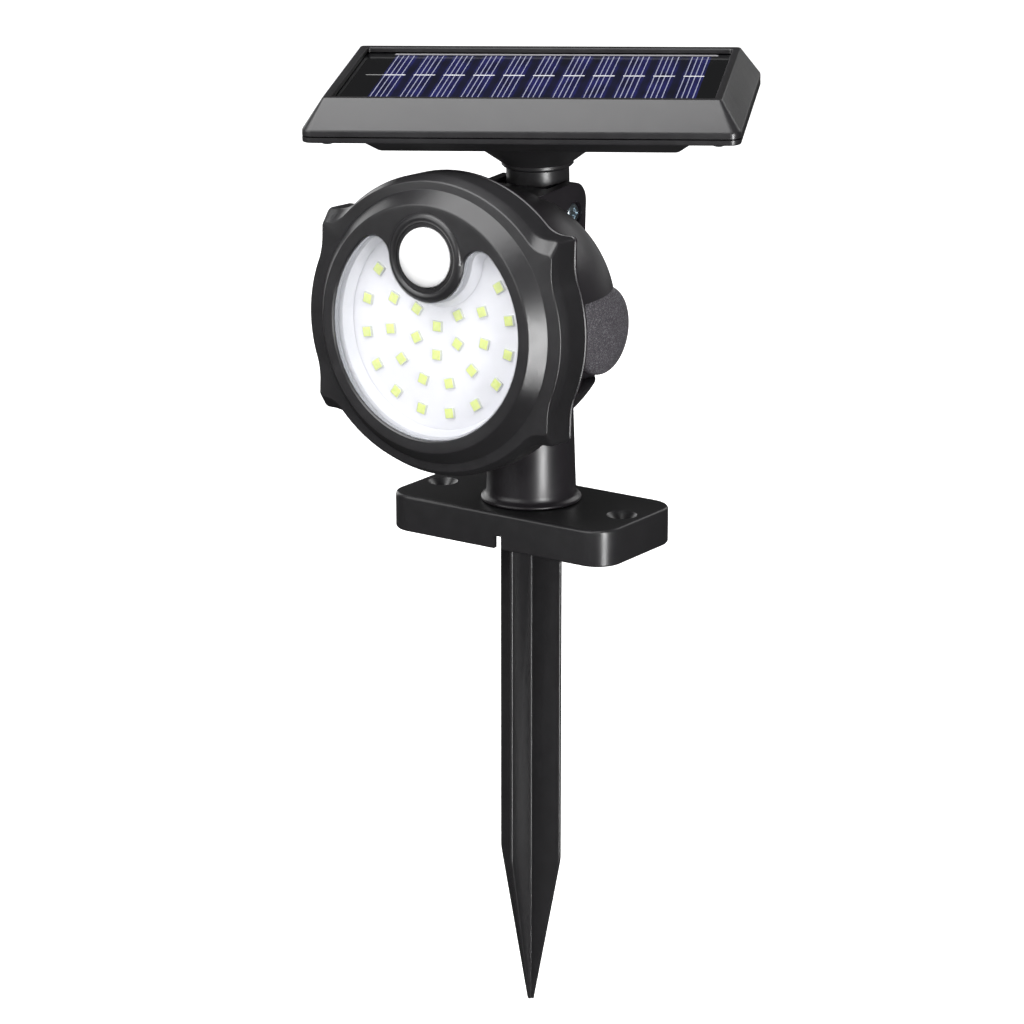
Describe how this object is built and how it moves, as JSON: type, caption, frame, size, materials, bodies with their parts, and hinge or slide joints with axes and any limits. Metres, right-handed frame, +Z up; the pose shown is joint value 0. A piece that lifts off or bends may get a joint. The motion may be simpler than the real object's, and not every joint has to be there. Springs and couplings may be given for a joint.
{
  "type": "solar garden light",
  "caption": "Ground-spike garden light: a round lamp head with a motion sensor and a ring-patterned LED board tilts on a post, under a solar panel that tilts and swivels.",
  "frame": {"origin": "centre of the underside of the base plate, where it meets the ground or a wall", "axes": "+Z up along the post, the lamp faces -Y at rest, +X to the lamp's own left, the right hand side seen from the front"},
  "size_m": [0.1638, 0.144, 0.3234],
  "materials": {
    "black": "satin",
    "textured_black": "fine spark texture",
    "clear_lens": "clear",
    "white": "satin",
    "sensor_white": "satin",
    "led_white": "satin",
    "zinc": "bright",
    "seal_rubber": "matte",
    "board_green": "satin",
    "battery_wrap": "satin",
    "solar_cells": "glossy",
    "nylon": "natural"
  },
  "bodies": {
    "base": {"base_plate": "black", "ground_spike": "black", "post": "black", "post_screw_left": "zinc", "post_screw_right": "zinc"},
    "head": {"front_bezel": "black", "rear_shell": "black", "battery_holder": "black", "pivot_cap_left": "textured_black", "pivot_cap_right": "textured_black", "lens_cover": "clear_lens", "reflector": "white", "sensor_lens": "sensor_white", "led_board": "led_white", "motion_sensor": "zinc", "housing_screw_upper_left": "zinc", "housing_screw_upper_right": "zinc", "housing_screw_lower_left": "zinc", "housing_screw_lower_right": "zinc", "battery_contact_top": "zinc", "battery_contact_bottom": "zinc", "pivot_bolt": "zinc", "pivot_nut": "zinc", "hinge_bolt": "zinc", "hinge_nut": "zinc", "head_seal": "seal_rubber", "control_board": "board_green", "mode_switch": "board_green", "battery_cell": "battery_wrap", "pivot_washer_left": "nylon", "pivot_washer_right": "nylon"},
    "button": {"mode_button": "seal_rubber"},
    "neck": {"panel_neck": "black", "swivel_clip": "zinc"},
    "panel": {"panel_frame": "black", "solar_laminate": "solar_cells", "panel_seal": "seal_rubber", "panel_tray": "black", "panel_screw_front_left": "zinc", "panel_screw_front_right": "zinc", "panel_screw_back_left": "zinc", "panel_screw_back_right": "zinc"}
  },
  "joints": [
    {"name": "head_tilt", "type": "hinge", "parent": "base", "child": "head", "pos_m": [0, 0, 0.0733], "axis": [-1, 0, 0], "range_deg": [-20, 45]},
    {"name": "panel_tilt", "type": "hinge", "parent": "head", "child": "neck", "pos_m": [0, 0.00402, 0.10946], "axis": [-1, 0, 0], "range_deg": [-1, 50]},
    {"name": "panel_swivel", "type": "hinge", "parent": "neck", "child": "panel", "pos_m": [0, 0.00402, 0.10946], "axis": [0, -0.0384, 0.9993], "range_deg": [-150, 150]},
    {"name": "mode_press", "type": "slide", "parent": "head", "child": "button", "axis": [0, -0.9991, 0.0419], "range_m": [0, 0.001], "stiffness_N_per_m": 300, "springref_m": -0.001}
  ]
}
